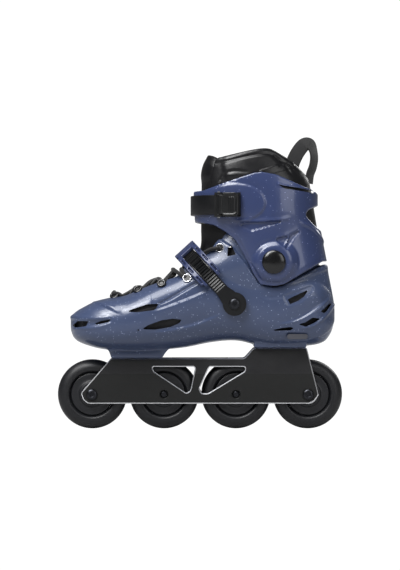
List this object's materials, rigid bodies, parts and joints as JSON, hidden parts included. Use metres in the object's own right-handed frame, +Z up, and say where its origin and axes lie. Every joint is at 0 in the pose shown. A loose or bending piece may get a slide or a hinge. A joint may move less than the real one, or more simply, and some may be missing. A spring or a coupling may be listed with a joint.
{
  "type": "inline skate",
  "caption": "Inline skate with a hinged cuff, instep ratchet strap, cuff buckle, laces, padded liner and four wheels in a bolted frame.",
  "frame": {"origin": "on the ground under the middle of the wheelbase, midway between the two cuff caps", "axes": "+X from toe to heel, +Z up, -Y towards the side with the cuff buckle's lever"},
  "size_m": [0.321, 0.1144, 0.3246],
  "materials": {
    "blue_shell": "satin with fine fleck",
    "blue_cuff": "satin with fine fleck",
    "black_aluminium": "matt black anodised with bright cut edges",
    "steel": "bright",
    "black_steel": "black oxide",
    "tyre": "satin polyurethane",
    "hub": "satin",
    "black_plastic": "fine matt texture",
    "gloss_black": "high gloss",
    "strap": "satin",
    "liner": "smooth synthetic leather",
    "webbing": "woven",
    "lace": "braided",
    "footbed": "felted"
  },
  "bodies": {
    "chassis": {"frame": "black_aluminium", "axle_1": "black_steel", "axle_2": "black_steel", "axle_3": "black_steel", "axle_4": "black_steel", "spacer_1": "steel", "spacer_2": "steel", "spacer_3": "steel", "spacer_4": "steel", "frame_bolt_front": "black_steel", "frame_washer_front": "steel", "frame_bolt_rear": "black_steel", "frame_washer_rear": "steel", "boot_shell": "blue_shell", "liner_foot": "liner", "tongue_lower": "liner", "footbed": "footbed", "shoelace": "lace", "cuff_nut_lever_side": "steel", "cuff_nut_far_side": "steel", "cuff_bolt_lever_side": "steel", "cuff_bolt_far_side": "steel", "strap_bolt_lever_side": "black_steel", "strap_bolt_far_side": "black_steel"},
    "wheel_1": {"tyre_1": "tyre", "hub_1": "hub", "bearing_lever_side_1": "steel", "bearing_far_side_1": "steel"},
    "wheel_2": {"tyre_2": "tyre", "hub_2": "hub", "bearing_lever_side_2": "steel", "bearing_far_side_2": "steel"},
    "wheel_3": {"tyre_3": "tyre", "hub_3": "hub", "bearing_lever_side_3": "steel", "bearing_far_side_3": "steel"},
    "wheel_4": {"tyre_4": "tyre", "hub_4": "hub", "bearing_lever_side_4": "steel", "bearing_far_side_4": "steel"},
    "cuff_body": {"cuff": "blue_cuff", "liner_shaft": "liner", "tongue_upper": "liner", "pull_loop": "webbing", "cuff_strap": "strap", "cuff_strap_bolt": "black_steel", "cuff_buckle_base": "black_plastic", "cuff_buckle_pin": "steel", "cuff_cap_lever_side": "gloss_black", "cuff_cap_far_side": "gloss_black"},
    "cuff_lever_body": {"cuff_buckle_lever": "black_plastic"},
    "instep_body": {"ladder_strap": "strap", "instep_shield": "blue_cuff", "ratchet_strap": "strap", "ratchet_base": "black_plastic", "ratchet_lever_pin": "steel", "ratchet_release_pin": "steel"},
    "ratchet_lever_body": {"ratchet_lever": "black_plastic"},
    "ratchet_release_body": {"ratchet_release": "black_plastic"}
  },
  "joints": [
    {"name": "wheel_1_spin", "type": "hinge", "parent": "chassis", "child": "wheel_1", "pos_m": [-0.1215, 0, 0.039], "axis": [0, 1, 0], "continuous": true},
    {"name": "wheel_2_spin", "type": "hinge", "parent": "chassis", "child": "wheel_2", "pos_m": [-0.0405, 0, 0.039], "axis": [0, 1, 0], "continuous": true},
    {"name": "wheel_3_spin", "type": "hinge", "parent": "chassis", "child": "wheel_3", "pos_m": [0.0405, 0, 0.039], "axis": [0, 1, 0], "continuous": true},
    {"name": "wheel_4_spin", "type": "hinge", "parent": "chassis", "child": "wheel_4", "pos_m": [0.1215, 0, 0.039], "axis": [0, 1, 0], "continuous": true},
    {"name": "cuff_flex", "type": "hinge", "parent": "chassis", "child": "cuff_body", "pos_m": [0.0818, 0, 0.1873], "axis": [0, -1, 0], "range_deg": [-2, 8]},
    {"name": "cuff_lever_open", "type": "hinge", "parent": "cuff_body", "child": "cuff_lever_body", "pos_m": [0.02078, -0.04683, 0.251], "axis": [0, 0, -1], "range_deg": [0, 100]},
    {"name": "instep_strap_swing", "type": "hinge", "parent": "chassis", "child": "instep_body", "pos_m": [0.0384, 0, 0.1408], "axis": [0, 1, 0], "range_deg": [-1, 3]},
    {"name": "ratchet_lever_lift", "type": "hinge", "parent": "instep_body", "child": "ratchet_lever_body", "pos_m": [0.02219, 0.0553, 0.15849], "axis": [-0.7373, 0, -0.6756], "range_deg": [0, 70]},
    {"name": "ratchet_release_lift", "type": "hinge", "parent": "instep_body", "child": "ratchet_release_body", "pos_m": [0.02827, 0.0553, 0.15186], "axis": [0.7373, 0, 0.6756], "range_deg": [0, 18], "stiffness_Nm_per_rad": 0.05}
  ]
}
